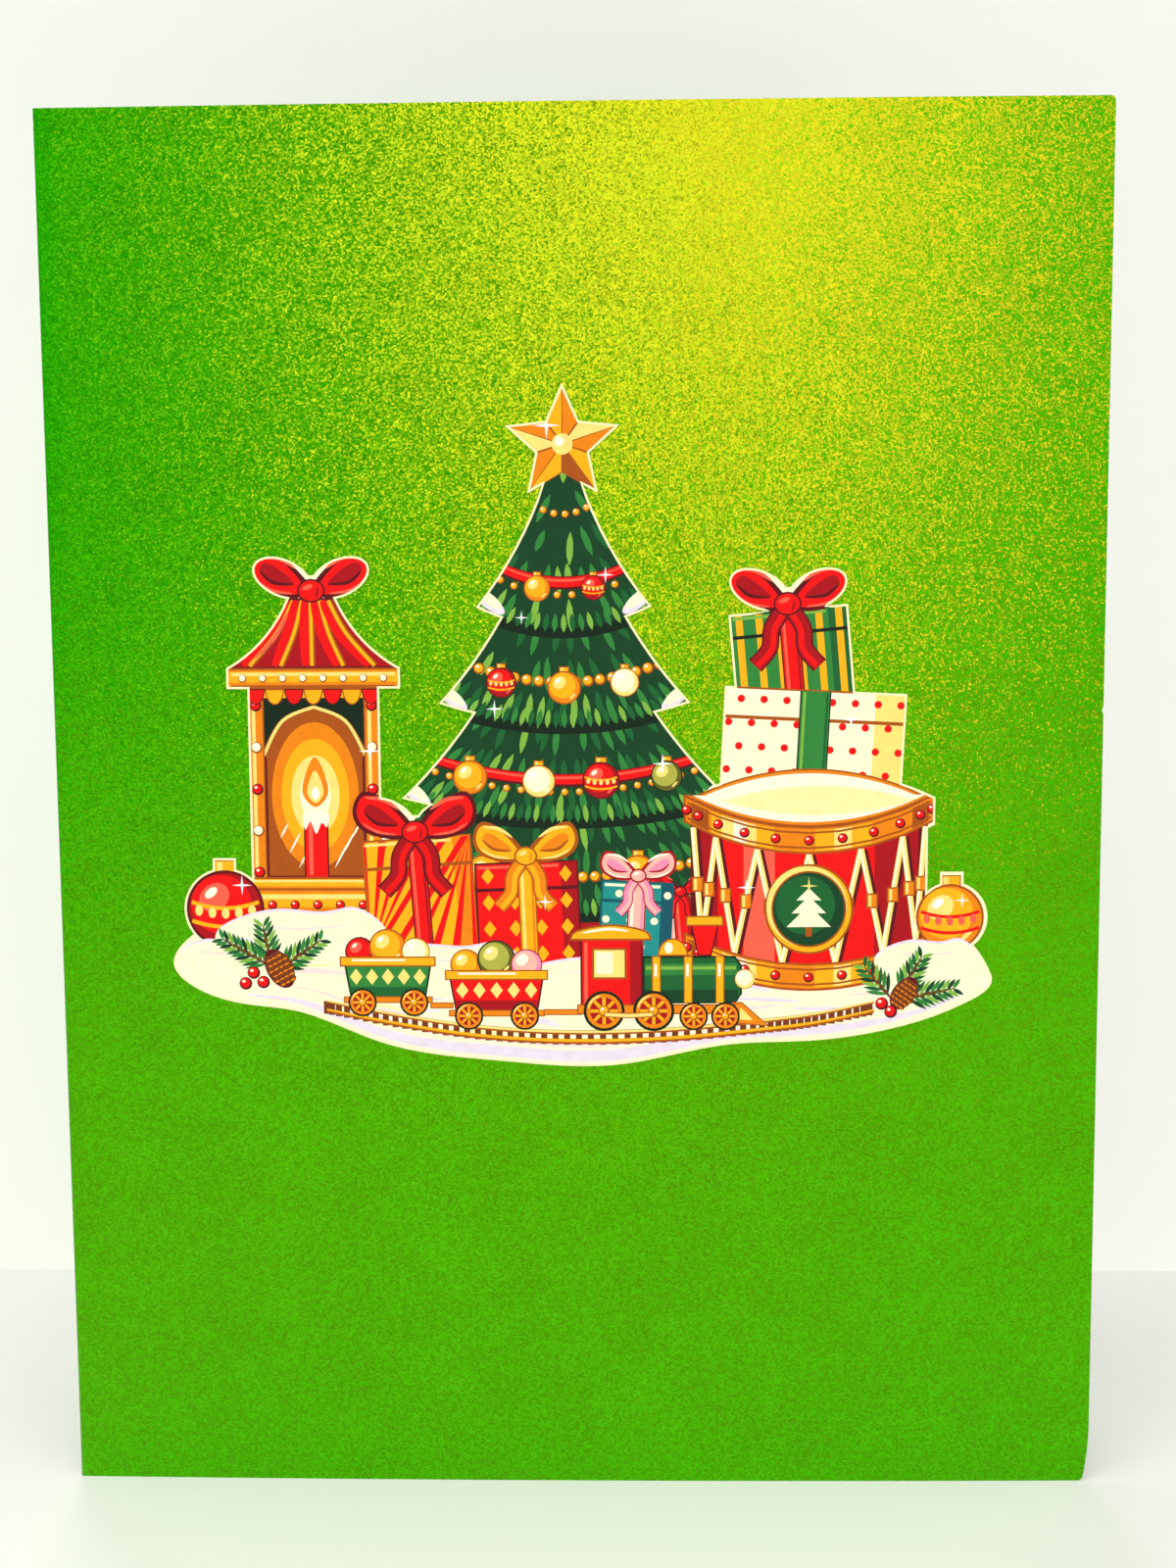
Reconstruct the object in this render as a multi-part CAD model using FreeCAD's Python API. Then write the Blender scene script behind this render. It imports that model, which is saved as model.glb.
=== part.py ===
import FreeCAD, Part
import math
import os

# A folded greeting card of pearl card that stands open on its foot, with a die cut label on its front leaf.
# Millimetres. The front leaf runs along X from the fold to its free edge and faces -Y, and Z is up.
# The origin is the middle of the card's footprint box, on the surface that it stands on.

# The card, one sheet folded once
leaf_width = 150.0            # from the fold to the free edge, along the bowed sheet
leaf_height = 200.0
card_thickness = 0.35
fold_inner_radius = 0.25
opening_angle = 30.0          # between the chords of the two leaves, in degrees
leaf_bow = 0.8                # how far each leaf bulges outwards from its chord

# The free corners, and the wear of the front leaf's free edge
corner_radius = 0.7
worn_corner_radius = 0.9
worn_corner_reach = 9.0       # height over which the lower front corner falls away
worn_corner_depth = 0.7
nick_above_foot = 114.9
nick_width = 1.2
nick_depth = 0.25

# The picture label, laid flat on the outer face of the front leaf
label_thickness = 0.2
label_off_centre = 0.2        # from the middle of the leaf, away from the fold
label_above_foot = 63.6

# Snow drift that carries the whole picture
drift_half_width = 59.3
drift_height = 26.4

# Fir tree of stacked tiers, with a star on its tip
tree_x = -2.0
tree_sink = 1.0               # how far the lowest tier reaches into the drift
tier_count = 4
tier_spacing = 13.7
tier_rise = 22.9
low_tier_half_width = 29.0
top_tier_half_width = 12.5
low_tier_neck = 10.0
top_tier_neck = 1.2
tier_sag = 3.0                # how far the middle of a tier's foot hangs below its tips
tier_hollow = 1.6             # how far a tier's sides curve inwards
star_radius = 8.5
star_inner_radius = 4.0
star_points = 5

# Lantern with a bow on its roof
lantern_x = -38.0
lantern_foot = 22.0
lantern_base_width = 24.0
lantern_base_height = 4.0
lantern_body_width = 19.0
lantern_body_height = 29.0
lantern_eave_width = 25.0
lantern_eave_height = 3.0
lantern_roof_top_width = 7.0
lantern_roof_height = 10.0
lantern_roof_hollow = 1.5

# Toy drum
drum_x = 33.0
drum_foot = 15.0
drum_half_width = 17.0
drum_height = 24.0
drum_end_bulge = 4.2          # the round ends seen from a little above
rim_overhang = 1.0
rim_height = 4.0

# Parcels: two stacked on the drum and one beside the tree
low_parcel_width = 26.0
low_parcel_height = 17.0
low_parcel_tilt = -3.0
high_parcel_x = 31.0
high_parcel_width = 17.0
high_parcel_height = 13.0
high_parcel_tilt = 5.0
side_parcel_x = -22.5
side_parcel_foot = 17.0
side_parcel_width = 16.0
side_parcel_height = 16.5
side_parcel_tilt = 4.0
parcel_overlap = 1.5          # how far a parcel's foot lies over what carries it

# Bows of two loops and a knot
bow_loop_length = 9.0
bow_loop_height = 5.4
bow_loop_tilt = 24.0
bow_knot_radius = 2.2
bow_overlap = 1.2             # how far the knot lies over what it is tied to

# Baubles at the two ends of the drift
left_bauble_x = -51.5
left_bauble_z = 23.0
left_bauble_radius = 6.0
right_bauble_x = 53.5
right_bauble_z = 21.5
right_bauble_radius = 5.2
cap_width = 3.4
cap_height = 2.2

# Plan view of the folded sheet. The centre of the fold's arc is the drawing's origin.
half_thickness = card_thickness / 2
fold_radius = fold_inner_radius + half_thickness
end_slope = math.degrees(2 * math.atan(2 * leaf_bow / leaf_width))
bow_radius = leaf_width / math.radians(2 * end_slope)
front_start = -90 - end_slope
front_end = -90 + end_slope
back_start = 90 + opening_angle + end_slope
back_end = 90 + opening_angle - end_slope


def polar(centre, radius, angle):
    turn = math.radians(angle)
    return centre + FreeCAD.Vector(math.cos(turn), math.sin(turn), 0) * radius


def arc(centre, radius, start, end):
    middle = (start + end) / 2
    through = [polar(centre, radius, angle) for angle in (start, middle, end)]
    return Part.Arc(*through).toShape()


fold_centre = FreeCAD.Vector(0, 0, 0)
front_centre = polar(polar(fold_centre, fold_radius, front_start), bow_radius, front_start + 180)
back_centre = polar(polar(fold_centre, fold_radius, back_start), bow_radius, back_start + 180)


def leaf_end(centre, angle):
    return Part.makeLine(polar(centre, bow_radius + half_thickness, angle),
                         polar(centre, bow_radius - half_thickness, angle))


def sheet_side(offset):
    # One face of the sheet, from the front leaf's free edge round the fold to the back leaf's.
    return [arc(front_centre, bow_radius + offset, front_end, front_start),
            arc(fold_centre, fold_radius + offset, front_start + 360, back_start),
            arc(back_centre, bow_radius + offset, back_start, back_end)]


def folded_sheet():
    edges = sheet_side(half_thickness) + sheet_side(-half_thickness)
    edges.append(leaf_end(front_centre, front_end))
    edges.append(leaf_end(back_centre, back_end))
    outline = Part.Wire(Part.sortEdges(edges)[0])
    return Part.Face(outline).extrude(FreeCAD.Vector(0, 0, leaf_height))


front_edge = polar(front_centre, bow_radius, front_end)
back_edge = polar(back_centre, bow_radius, back_end)
tool_depth = 10 * card_thickness


def face_through(points, place):
    # Each point is joined to the next by a line, or by an arc through the middle point that it also gives.
    edges = []
    for start, end in zip(points, points[1:] + points[:1]):
        first = place(*start[:2])
        last = place(*end[:2])
        if len(start) == 3:
            edges.append(Part.Arc(first, place(*start[2]), last).toShape())
        else:
            edges.append(Part.makeLine(first, last))
    return Part.Face(Part.Wire(edges))


def beside_front_edge(x, z):
    return FreeCAD.Vector(front_edge.x + x, front_edge.y - tool_depth / 2, z)


def worn_corner():
    # The edge leaves the vertical gently and falls away faster towards the foot.
    depth = worn_corner_depth
    middle = (worn_corner_reach - depth) / 2
    face = face_through([(0, worn_corner_reach, (-depth / 4, middle)), (-depth, -depth), (depth, -depth),
                         (depth, worn_corner_reach)], beside_front_edge)
    return face.extrude(FreeCAD.Vector(0, tool_depth, 0))


def nick():
    low = nick_above_foot - nick_width / 2
    high = nick_above_foot + nick_width / 2
    face = face_through([(nick_depth, low), (nick_depth, high), (-nick_depth, nick_above_foot)],
                        beside_front_edge)
    return face.extrude(FreeCAD.Vector(0, tool_depth, 0))


def corner_edges(shape, place, height):
    # The edges through the sheet's thickness at one free corner.
    corner = FreeCAD.Vector(place.x, place.y, height)
    reach = worn_corner_depth + card_thickness
    return [edge for edge in shape.Edges
            if abs(edge.Length - card_thickness) < half_thickness
            and edge.CenterOfMass.distanceToPoint(corner) < reach]


def folded_cover():
    cover = folded_sheet().cut(worn_corner()).cut(nick())
    rounded = [(front_edge, 0, worn_corner_radius),
               (front_edge, leaf_height, corner_radius),
               (back_edge, 0, corner_radius),
               (back_edge, leaf_height, corner_radius)]
    for place, height, radius in rounded:
        cover = cover.makeFillet(radius, corner_edges(cover, place, height))
    return cover


# The label's outline is drawn in front of the leaf, with its own origin at the foot of the drift's middle.
label_x = front_edge.x / 2 + label_off_centre
tier_foot = drift_height - tree_sink
tree_top = tier_foot + (tier_count - 1) * tier_spacing + tier_rise
lantern_top = (lantern_foot + lantern_base_height + lantern_body_height + lantern_eave_height
               + lantern_roof_height)
drum_top = drum_foot + drum_height
low_parcel_foot = drum_top - parcel_overlap
high_parcel_foot = low_parcel_foot + low_parcel_height - parcel_overlap
label_front = front_centre.y - bow_radius - half_thickness - label_thickness


def on_label(x, z):
    return FreeCAD.Vector(label_x + x, label_front, label_above_foot + z)


def disc(x, z, radius):
    circle = Part.Circle(on_label(x, z), FreeCAD.Vector(0, -1, 0), radius)
    return Part.Face(Part.Wire(circle.toShape()))


def oval(x, z, length, height, tilt):
    shape = Part.Ellipse(FreeCAD.Vector(0, 0, 0), length / 2, height / 2).toShape()
    shape.rotate(FreeCAD.Vector(0, 0, 0), FreeCAD.Vector(1, 0, 0), 90)
    shape.rotate(FreeCAD.Vector(0, 0, 0), FreeCAD.Vector(0, -1, 0), tilt)
    shape.translate(on_label(x, z))
    return Part.Face(Part.Wire(shape))


def standing_box(x, foot, width, height, tilt=0):
    # A rectangle that stands on the middle of its foot and leans by the tilt.
    lean = math.radians(tilt)
    corners = [(-width / 2, 0), (width / 2, 0), (width / 2, height), (-width / 2, height)]
    turned = [(x + across * math.cos(lean) - up * math.sin(lean),
               foot + across * math.sin(lean) + up * math.cos(lean)) for across, up in corners]
    return face_through(turned, on_label)


def drift():
    # Shares of the drift's half width and of its height, round its outline from the right tip.
    shares = [(1.0, 0.5), (0.9, 0.77), (0.66, 0.9), (0.34, 0.97), (0.0, 1.0), (-0.38, 0.97), (-0.68, 0.91),
              (-0.9, 0.8), (-1.0, 0.56), (-0.9, 0.38), (-0.7, 0.3), (-0.5, 0.13), (-0.2, 0.02), (0.1, 0.0),
              (0.36, 0.11), (0.56, 0.13), (0.8, 0.22), (0.94, 0.34)]
    curve = Part.BSplineCurve()
    curve.interpolate([on_label(across * drift_half_width, up * drift_height) for across, up in shares],
                      PeriodicFlag=True)
    return Part.Face(Part.Wire(curve.toShape()))


def tree_tiers():
    tiers = []
    for index in range(tier_count):
        share = index / (tier_count - 1)
        foot = tier_foot + index * tier_spacing
        tip = low_tier_half_width + share * (top_tier_half_width - low_tier_half_width)
        neck = low_tier_neck + share * (top_tier_neck - low_tier_neck)
        side = (tip + neck) / 2 - tier_hollow
        middle = foot + tier_rise / 2
        top = foot + tier_rise
        tiers.append(face_through([(tree_x - tip, foot, (tree_x, foot - tier_sag)),
                                   (tree_x + tip, foot, (tree_x + side, middle)),
                                   (tree_x + neck, top),
                                   (tree_x - neck, top, (tree_x - side, middle))], on_label))
    return tiers


def star():
    # Counter-clockwise from the top point, as every outline here, so that the faces join into one.
    points = []
    for index in range(2 * star_points):
        radius = star_inner_radius if index % 2 else star_radius
        turn = math.pi * index / star_points
        points.append((tree_x - radius * math.sin(turn), tree_top + radius * math.cos(turn)))
    return face_through(points, on_label)


def bow(x, z):
    reach = bow_loop_length / 2
    lean = math.radians(bow_loop_tilt)
    loops = []
    for side in (-1, 1):
        loops.append(oval(x + side * reach * math.cos(lean), z + reach * math.sin(lean),
                          bow_loop_length, bow_loop_height, side * bow_loop_tilt))
    return loops + [disc(x, z, bow_knot_radius)]


def lantern():
    base_top = lantern_foot + lantern_base_height
    eave = base_top + lantern_body_height
    roof = eave + lantern_eave_height
    low = lantern_eave_width / 2
    high = lantern_roof_top_width / 2
    bend = (low + high) / 2 - lantern_roof_hollow
    middle = roof + lantern_roof_height / 2
    roof_face = face_through([(lantern_x - low, roof),
                              (lantern_x + low, roof, (lantern_x + bend, middle)),
                              (lantern_x + high, lantern_top),
                              (lantern_x - high, lantern_top, (lantern_x - bend, middle))], on_label)
    return [standing_box(lantern_x, lantern_foot, lantern_base_width, lantern_base_height),
            standing_box(lantern_x, base_top, lantern_body_width, lantern_body_height),
            standing_box(lantern_x, eave, lantern_eave_width, lantern_eave_height),
            roof_face] + bow(lantern_x, lantern_top + bow_knot_radius - bow_overlap)


def drum_band(foot, height, half_width):
    top = foot + height
    return face_through([(drum_x - half_width, foot, (drum_x, foot - drum_end_bulge)),
                         (drum_x + half_width, foot),
                         (drum_x + half_width, top, (drum_x, top + drum_end_bulge)),
                         (drum_x - half_width, top)], on_label)


def drum():
    rim = drum_half_width + rim_overhang
    return [drum_band(drum_foot, drum_height, drum_half_width),
            drum_band(drum_foot, rim_height, rim),
            drum_band(drum_top - rim_height, rim_height, rim)]


def parcels():
    knot = bow_knot_radius - bow_overlap
    boxes = [(drum_x, low_parcel_foot, low_parcel_width, low_parcel_height, low_parcel_tilt),
             (high_parcel_x, high_parcel_foot, high_parcel_width, high_parcel_height, high_parcel_tilt),
             (side_parcel_x, side_parcel_foot, side_parcel_width, side_parcel_height, side_parcel_tilt)]
    faces = [standing_box(*box) for box in boxes]
    for x, foot, width, height, tilt in boxes[1:]:
        lean = math.radians(tilt)
        faces += bow(x - height * math.sin(lean), foot + height * math.cos(lean) + knot)
    return faces


def bauble(x, z, radius):
    return [disc(x, z, radius), standing_box(x, z + radius - cap_height / 3, cap_width, cap_height)]


def picture_label():
    faces = tree_tiers() + [star()] + lantern() + drum() + parcels()
    faces += bauble(left_bauble_x, left_bauble_z, left_bauble_radius)
    faces += bauble(right_bauble_x, right_bauble_z, right_bauble_radius)
    whole = drift().multiFuse(faces).removeSplitter()
    outline = max(whole.Faces, key=lambda face: face.Area).OuterWire
    silhouette = Part.Face(outline).extrude(FreeCAD.Vector(0, leaf_bow + 2 * label_thickness, 0))
    inner = arc(front_centre, bow_radius + half_thickness, front_start, front_end)
    outer = arc(front_centre, bow_radius + half_thickness + label_thickness, front_end, front_start)
    ends = [Part.makeLine(inner.lastVertex(True).Point, outer.firstVertex(True).Point),
            Part.makeLine(outer.lastVertex(True).Point, inner.firstVertex(True).Point)]
    section = Part.Face(Part.Wire([inner, ends[0], outer, ends[1]]))
    skin = section.extrude(FreeCAD.Vector(0, 0, leaf_height))
    return silhouette.common(skin)


def to_frame():
    # From the fold's centre to the middle of the footprint, worked out from the outermost points.
    left = -fold_radius - half_thickness
    right = polar(front_centre, bow_radius + half_thickness, front_end).x
    back = polar(back_centre, bow_radius + half_thickness, back_end).y
    return FreeCAD.Vector(-(left + right) / 2, -(label_front + back) / 2, 0)


parts = {
    "folded_cover": folded_cover(),
    "picture_label": picture_label(),
}

os.makedirs("parts", exist_ok=True)
for name, shape in parts.items():
    solid = shape.Solids[0].copy()
    solid.translate(to_frame())
    solid.exportStep("parts/" + name + ".step")
    print(name, "solids", len(shape.Solids), "valid", solid.isValid(), "volume", round(solid.Volume, 1))
    print("  box", solid.BoundBox)
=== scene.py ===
import bpy
import math
import random
from mathutils import Matrix, Vector
from mathutils.geometry import delaunay_2d_cdt


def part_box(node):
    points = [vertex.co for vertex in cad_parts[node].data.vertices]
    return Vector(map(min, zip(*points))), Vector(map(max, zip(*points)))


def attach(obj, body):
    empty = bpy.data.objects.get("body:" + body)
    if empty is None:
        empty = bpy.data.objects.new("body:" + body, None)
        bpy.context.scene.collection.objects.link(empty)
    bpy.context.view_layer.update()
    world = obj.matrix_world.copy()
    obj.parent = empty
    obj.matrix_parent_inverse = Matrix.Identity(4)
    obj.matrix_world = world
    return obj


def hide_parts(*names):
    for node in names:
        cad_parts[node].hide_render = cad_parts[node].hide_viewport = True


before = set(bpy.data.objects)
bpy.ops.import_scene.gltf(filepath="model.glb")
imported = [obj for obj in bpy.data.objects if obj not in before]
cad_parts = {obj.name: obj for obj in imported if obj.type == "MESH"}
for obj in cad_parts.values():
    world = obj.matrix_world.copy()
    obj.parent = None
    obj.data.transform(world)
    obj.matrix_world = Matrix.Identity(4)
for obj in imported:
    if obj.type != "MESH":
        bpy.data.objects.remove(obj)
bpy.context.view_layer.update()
mm = 0.001
mergeDistance = 1e-4              # mm, points of a flat sheet that lie closer than this become one
sharpAngle = math.radians(40)     # a corner sharper than this shades as an edge

# The folded sheet, in millimetres and degrees, as the solids have it
card = {
    "leafWidth": 150.0,
    "leafHeight": 200.0,
    "thickness": 0.35,
    "foldInnerRadius": 0.25,
    "openingAngle": 30.0,
    "leafBow": 0.8,
    "cornerRadius": 0.7,
    "wornCornerRadius": 0.9,
    "wornCornerReach": 9.0,
    "wornCornerDepth": 0.7,
    "nickAboveFoot": 114.9,
    "nickWidth": 1.2,
    "nickDepth": 0.25,
    "leafStep": 3.0,        # spacing of the mesh lines across a leaf
    "heightStep": 5.0,
    "foldSteps": 14,
    "cornerSteps": 6,
    "wornSteps": 8,
}

halfThickness = card["thickness"] / 2
foldRadius = card["foldInnerRadius"] + halfThickness
endSlope = 2 * math.atan(2 * card["leafBow"] / card["leafWidth"])
bowRadius = card["leafWidth"] / (2 * endSlope)
frontStart = -math.pi / 2 - endSlope
foldStart = frontStart + 2 * math.pi
backStart = math.pi / 2 + math.radians(card["openingAngle"]) + endSlope
foldHalf = foldRadius * (foldStart - backStart) / 2     # half the fold's length along the sheet's middle
sheetHalf = foldHalf + card["leafWidth"]


def polar(centre, radius, angle):
    return centre + Vector((math.cos(angle), math.sin(angle))) * radius


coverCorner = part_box("folded_cover")[0]
foldCentre = Vector((coverCorner.x / mm + foldRadius + halfThickness, 0.0))
frontCentre = polar(polar(foldCentre, foldRadius, frontStart), -bowRadius, frontStart)
foldCentre.y = coverCorner.y / mm - (frontCentre.y - bowRadius - halfThickness)
frontCentre.y += foldCentre.y
backCentre = polar(polar(foldCentre, foldRadius, backStart), -bowRadius, backStart)


# A point of the sheet. s runs along its middle, from the front leaf's free edge (negative) round the fold to
# the back leaf's, and offset is the distance outwards from that middle.
def sheetPoint(s, z, offset):
    if s < -foldHalf:
        plan = polar(frontCentre, bowRadius + offset, frontStart - (s + foldHalf) / bowRadius)
    elif s > foldHalf:
        plan = polar(backCentre, bowRadius + offset, backStart - (s - foldHalf) / bowRadius)
    else:
        plan = polar(foldCentre, foldRadius + offset, (foldStart + backStart) / 2 - s / foldRadius)
    return Vector((plan.x * mm, plan.y * mm, z * mm))


# Colour and node helpers
def ink(hexCode):
    channels = [int(hexCode[i:i + 2], 16) / 255 for i in (1, 3, 5)]
    return [c / 12.92 if c <= 0.04045 else ((c + 0.055) / 1.055) ** 2.4 for c in channels] + [1.0]


def addNode(tree, kind, sockets=None, **settings):
    node = tree.nodes.new(kind)
    for name, value in settings.items():
        setattr(node, name, value)
    for name, value in (sockets or {}).items():
        if isinstance(value, bpy.types.NodeSocket):
            tree.links.new(value, node.inputs[name])
        else:
            node.inputs[name].default_value = value
    return node


def newMaterial(name):
    material = bpy.data.materials.new(name)
    material.use_nodes = True
    tree = material.node_tree
    return material, tree, tree.nodes["Principled BSDF"]


# Pearl card: paper dyed through and coated with mica flakes, so it is green straight on and
# shimmers gold where a lamp is mirrored, in fine grains because each flake lies at its own slant
pearl = {
    "deepGreen": "#017301",
    "brightGreen": "#08BC03",
    "goldSheen": "#FFC126",
    "roughness": (0.15, 0.27),   # of the glossiest and the dullest flake
    "ior": 1.78,             # high for paper: the mica's layers reflect more than a plain coat
    "flakeWidth": 0.22,      # real flakes are under 0.1, too fine to show, so they are drawn coarser
    "flakeSlant": 0.155,     # slope between two flakes that lean opposite ways
    "flakeBend": 0.5,        # how far a flake's edges wander, as a share of its width
    "cloudWidth": 7.0,       # soft unevenness of the coat
    "cloudShare": 0.3,
}


def pearlCard():
    material, tree, shader = newMaterial("pearlCard")
    place = addNode(tree, "ShaderNodeTexCoord").outputs["Object"]
    width = pearl["flakeWidth"] * mm
    wander = addNode(tree, "ShaderNodeTexNoise", {"Vector": place, "Scale": 2 / width, "Detail": 0.0})
    bend = addNode(tree, "ShaderNodeVectorMath",
                   {0: wander.outputs["Color"], "Scale": width * pearl["flakeBend"]}, operation="SCALE")
    spot = addNode(tree, "ShaderNodeVectorMath", {0: place, 1: bend.outputs[0]}, operation="ADD")
    flake = addNode(tree, "ShaderNodeTexVoronoi", {"Vector": spot.outputs[0], "Scale": 1 / width})
    chance = addNode(tree, "ShaderNodeSeparateColor", {0: flake.outputs["Color"]})
    cloud = addNode(tree, "ShaderNodeTexNoise", {"Vector": place, "Scale": 1 / (pearl["cloudWidth"] * mm),
                                                 "Detail": 4.0, "Roughness": 0.6})
    depth = addNode(tree, "ShaderNodeMix",
                    {0: pearl["cloudShare"], 2: chance.outputs[0], 3: cloud.outputs["Fac"]})
    colour = addNode(tree, "ShaderNodeMix", {0: depth.outputs[0], "A": ink(pearl["deepGreen"]),
                                             "B": ink(pearl["brightGreen"])}, data_type="RGBA")
    tree.links.new(colour.outputs["Result"], shader.inputs["Base Color"])
    low, high = pearl["roughness"]
    rough = addNode(tree, "ShaderNodeMapRange", {"Value": chance.outputs[1], "To Min": high, "To Max": low})
    tree.links.new(rough.outputs[0], shader.inputs["Roughness"])
    # Each flake leans by its own random amount away from the sheet's own direction
    off = addNode(tree, "ShaderNodeVectorMath", {0: flake.outputs["Color"], 1: (0.5, 0.5, 0.5)},
                  operation="SUBTRACT")
    lean = addNode(tree, "ShaderNodeVectorMath", {0: off.outputs[0], "Scale": pearl["flakeSlant"]},
                   operation="SCALE")
    flat = addNode(tree, "ShaderNodeNewGeometry").outputs["Normal"]
    slanted = addNode(tree, "ShaderNodeVectorMath", {0: flat, 1: lean.outputs[0]}, operation="ADD")
    normal = addNode(tree, "ShaderNodeVectorMath", {0: slanted.outputs[0]}, operation="NORMALIZE")
    tree.links.new(normal.outputs[0], shader.inputs["Normal"])
    shader.inputs["IOR"].default_value = pearl["ior"]
    shader.inputs["Specular Tint"].default_value = ink(pearl["goldSheen"])
    return material


# Cut edge of the card: the knife leaves raw fibres, paler and duller than the coated faces
cutEdge = {
    "paleFibre": "#C9D277",
    "darkFibre": "#7FA436",
    "fibreWidth": 0.12,      # real fibres are about 0.03, too fine to show, so they are drawn coarser
    "fibreRelief": 0.02,
    "reliefShare": 0.4,
    "roughness": 0.85,
    "ior": 1.45,
}


def cutCardEdge():
    material, tree, shader = newMaterial("cutCardEdge")
    place = addNode(tree, "ShaderNodeTexCoord").outputs["Object"]
    fibre = addNode(tree, "ShaderNodeTexNoise",
                    {"Vector": place, "Scale": 1 / (cutEdge["fibreWidth"] * mm), "Detail": 3.0})
    colour = addNode(tree, "ShaderNodeMix", {0: fibre.outputs["Fac"], "A": ink(cutEdge["darkFibre"]),
                                             "B": ink(cutEdge["paleFibre"])}, data_type="RGBA")
    tree.links.new(colour.outputs["Result"], shader.inputs["Base Color"])
    bump = addNode(tree, "ShaderNodeBump",
                   {"Height": fibre.outputs["Fac"], "Strength": cutEdge["reliefShare"],
                    "Distance": cutEdge["fibreRelief"] * mm})
    tree.links.new(bump.outputs["Normal"], shader.inputs["Normal"])
    shader.inputs["Roughness"].default_value = cutEdge["roughness"]
    shader.inputs["IOR"].default_value = cutEdge["ior"]
    return material


# Outlines in millimetres
def arcPoints(x, z, radius, start, end, steps):
    turns = [math.radians(start + (end - start) * i / steps) for i in range(steps + 1)]
    return [(x + radius * math.cos(a), z + radius * math.sin(a)) for a in turns]


# Divides a sheet into triangles that follow its outline, its guide lines and the fields printed on it.
# Each triangle belongs to the last field that covers it.
def divideSheet(outline, fields, guides):
    points = []
    faces = []
    for shape in [outline] + fields:
        faces.append(list(range(len(points), len(points) + len(shape))))
        points += [Vector(p) for p in shape]
    edges = []
    for start, end in guides:
        edges.append((len(points), len(points) + 1))
        points += [Vector(start), Vector(end)]
    spots, _, triangles, origins, _, owners = delaunay_2d_cdt(points, edges, faces, 1, mergeDistance, True)
    kept = [(tuple(t), max(o), o) for t, o in zip(triangles, owners) if 0 in o]
    return spots, kept, origins


# The loop of edges that only one face has
def borderLoop(faces):
    loose = set()
    for corners in faces:
        for edge in zip(corners, corners[1:] + corners[:1]):
            if edge[::-1] in loose:
                loose.remove(edge[::-1])
            elif edge[0] != edge[1]:
                loose.add(edge)
    after = dict(loose)
    loop = [min(after)]
    while after[loop[-1]] != loop[0]:
        loop.append(after[loop[-1]])
    return loop


# A closed sheet: its front from the triangles given, a plain back divided by the guides alone, and a rim
def sheetMesh(name, spots, triangles, guides, place, offsets, backSlot, rimSlot, mirrored=False):
    front, back = offsets
    loop = borderLoop([corners for corners, _ in triangles])
    backSpots, backKept, origins = divideSheet([spots[i] for i in loop], [], guides)
    verts = [place(p.x, p.y, front) for p in spots] + [place(p.x, p.y, back) for p in backSpots]
    behind = {loop[i]: len(spots) + j for j, inputs in enumerate(origins) for i in inputs if i < len(loop)}
    faces = [list(corners) for corners, _ in triangles]
    faces += [[len(spots) + i for i in corners[::-1]] for corners, _, _ in backKept]
    faces += [[b, a, behind[a], behind[b]] for a, b in zip(loop, loop[1:] + loop[:1])]
    slots = [slot for _, slot in triangles] + [backSlot] * len(backKept) + [rimSlot] * len(loop)
    used = sorted({i for face in faces for i in face})
    row = {old: new for new, old in enumerate(used)}
    step = -1 if mirrored else 1
    mesh = bpy.data.meshes.new(name)
    mesh.from_pydata([verts[i] for i in used], [], [[row[i] for i in face[::step]] for face in faces])
    mesh.polygons.foreach_set("material_index", slots)
    mesh.polygons.foreach_set("use_smooth", [True] * len(faces))
    mesh.set_sharp_from_angle(angle=sharpAngle)
    piece = bpy.data.objects.new(name, mesh)
    bpy.context.scene.collection.objects.link(piece)
    return piece


# The flat sheet's outline with its rounded, worn and nicked edges
def coverOutline():
    height = card["leafHeight"]
    radius = card["cornerRadius"]
    worn = card["wornCornerRadius"]
    depth = card["wornCornerDepth"]
    reach = card["wornCornerReach"]
    corner = card["cornerSteps"]
    nickLow = card["nickAboveFoot"] - card["nickWidth"] / 2
    nickHigh = card["nickAboveFoot"] + card["nickWidth"] / 2
    points = arcPoints(sheetHalf - radius, radius, radius, -90, 0, corner)
    points += arcPoints(sheetHalf - radius, height - radius, radius, 0, 90, corner)
    points += arcPoints(radius - sheetHalf, height - radius, radius, 90, 180, corner)
    points.append((-sheetHalf, nickHigh))
    points.append((card["nickDepth"] - sheetHalf, card["nickAboveFoot"]))
    points.append((-sheetHalf, nickLow))
    for i in range(card["wornSteps"]):
        share = i / card["wornSteps"]
        points.append((depth * share ** 2 - sheetHalf, reach * (1 - share) + worn * share))
    points += arcPoints(worn + depth - sheetHalf, worn, worn, 180, 270, corner)
    return points


def foldedCover():
    height = card["leafHeight"]
    leafLines = int(card["leafWidth"] / card["leafStep"])
    lines = [foldHalf + card["leafWidth"] * i / leafLines for i in range(leafLines)]
    lines += [foldHalf * (2 * i / card["foldSteps"] - 1) for i in range(1, card["foldSteps"])]
    lines += [-s for s in lines if s >= foldHalf]
    guides = [((s, -1.0), (s, height + 1.0)) for s in lines]
    rows = int(height / card["heightStep"])
    for i in range(1, rows):
        guides.append(((-sheetHalf - 1, height * i / rows), (sheetHalf + 1, height * i / rows)))
    spots, kept, _ = divideSheet(coverOutline(), [], guides)
    triangles = [(corners, 0) for corners, _, _ in kept]
    offsets = (halfThickness, -halfThickness)
    piece = sheetMesh("pearl_cover", spots, triangles, guides, sheetPoint, offsets, 0, 1, True)
    piece.data.materials.append(pearlCard())
    piece.data.materials.append(cutCardEdge())
    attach(piece, "root")
    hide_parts("folded_cover")
    print("cover:", len(piece.data.polygons), "faces")


foldedCover()


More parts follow.
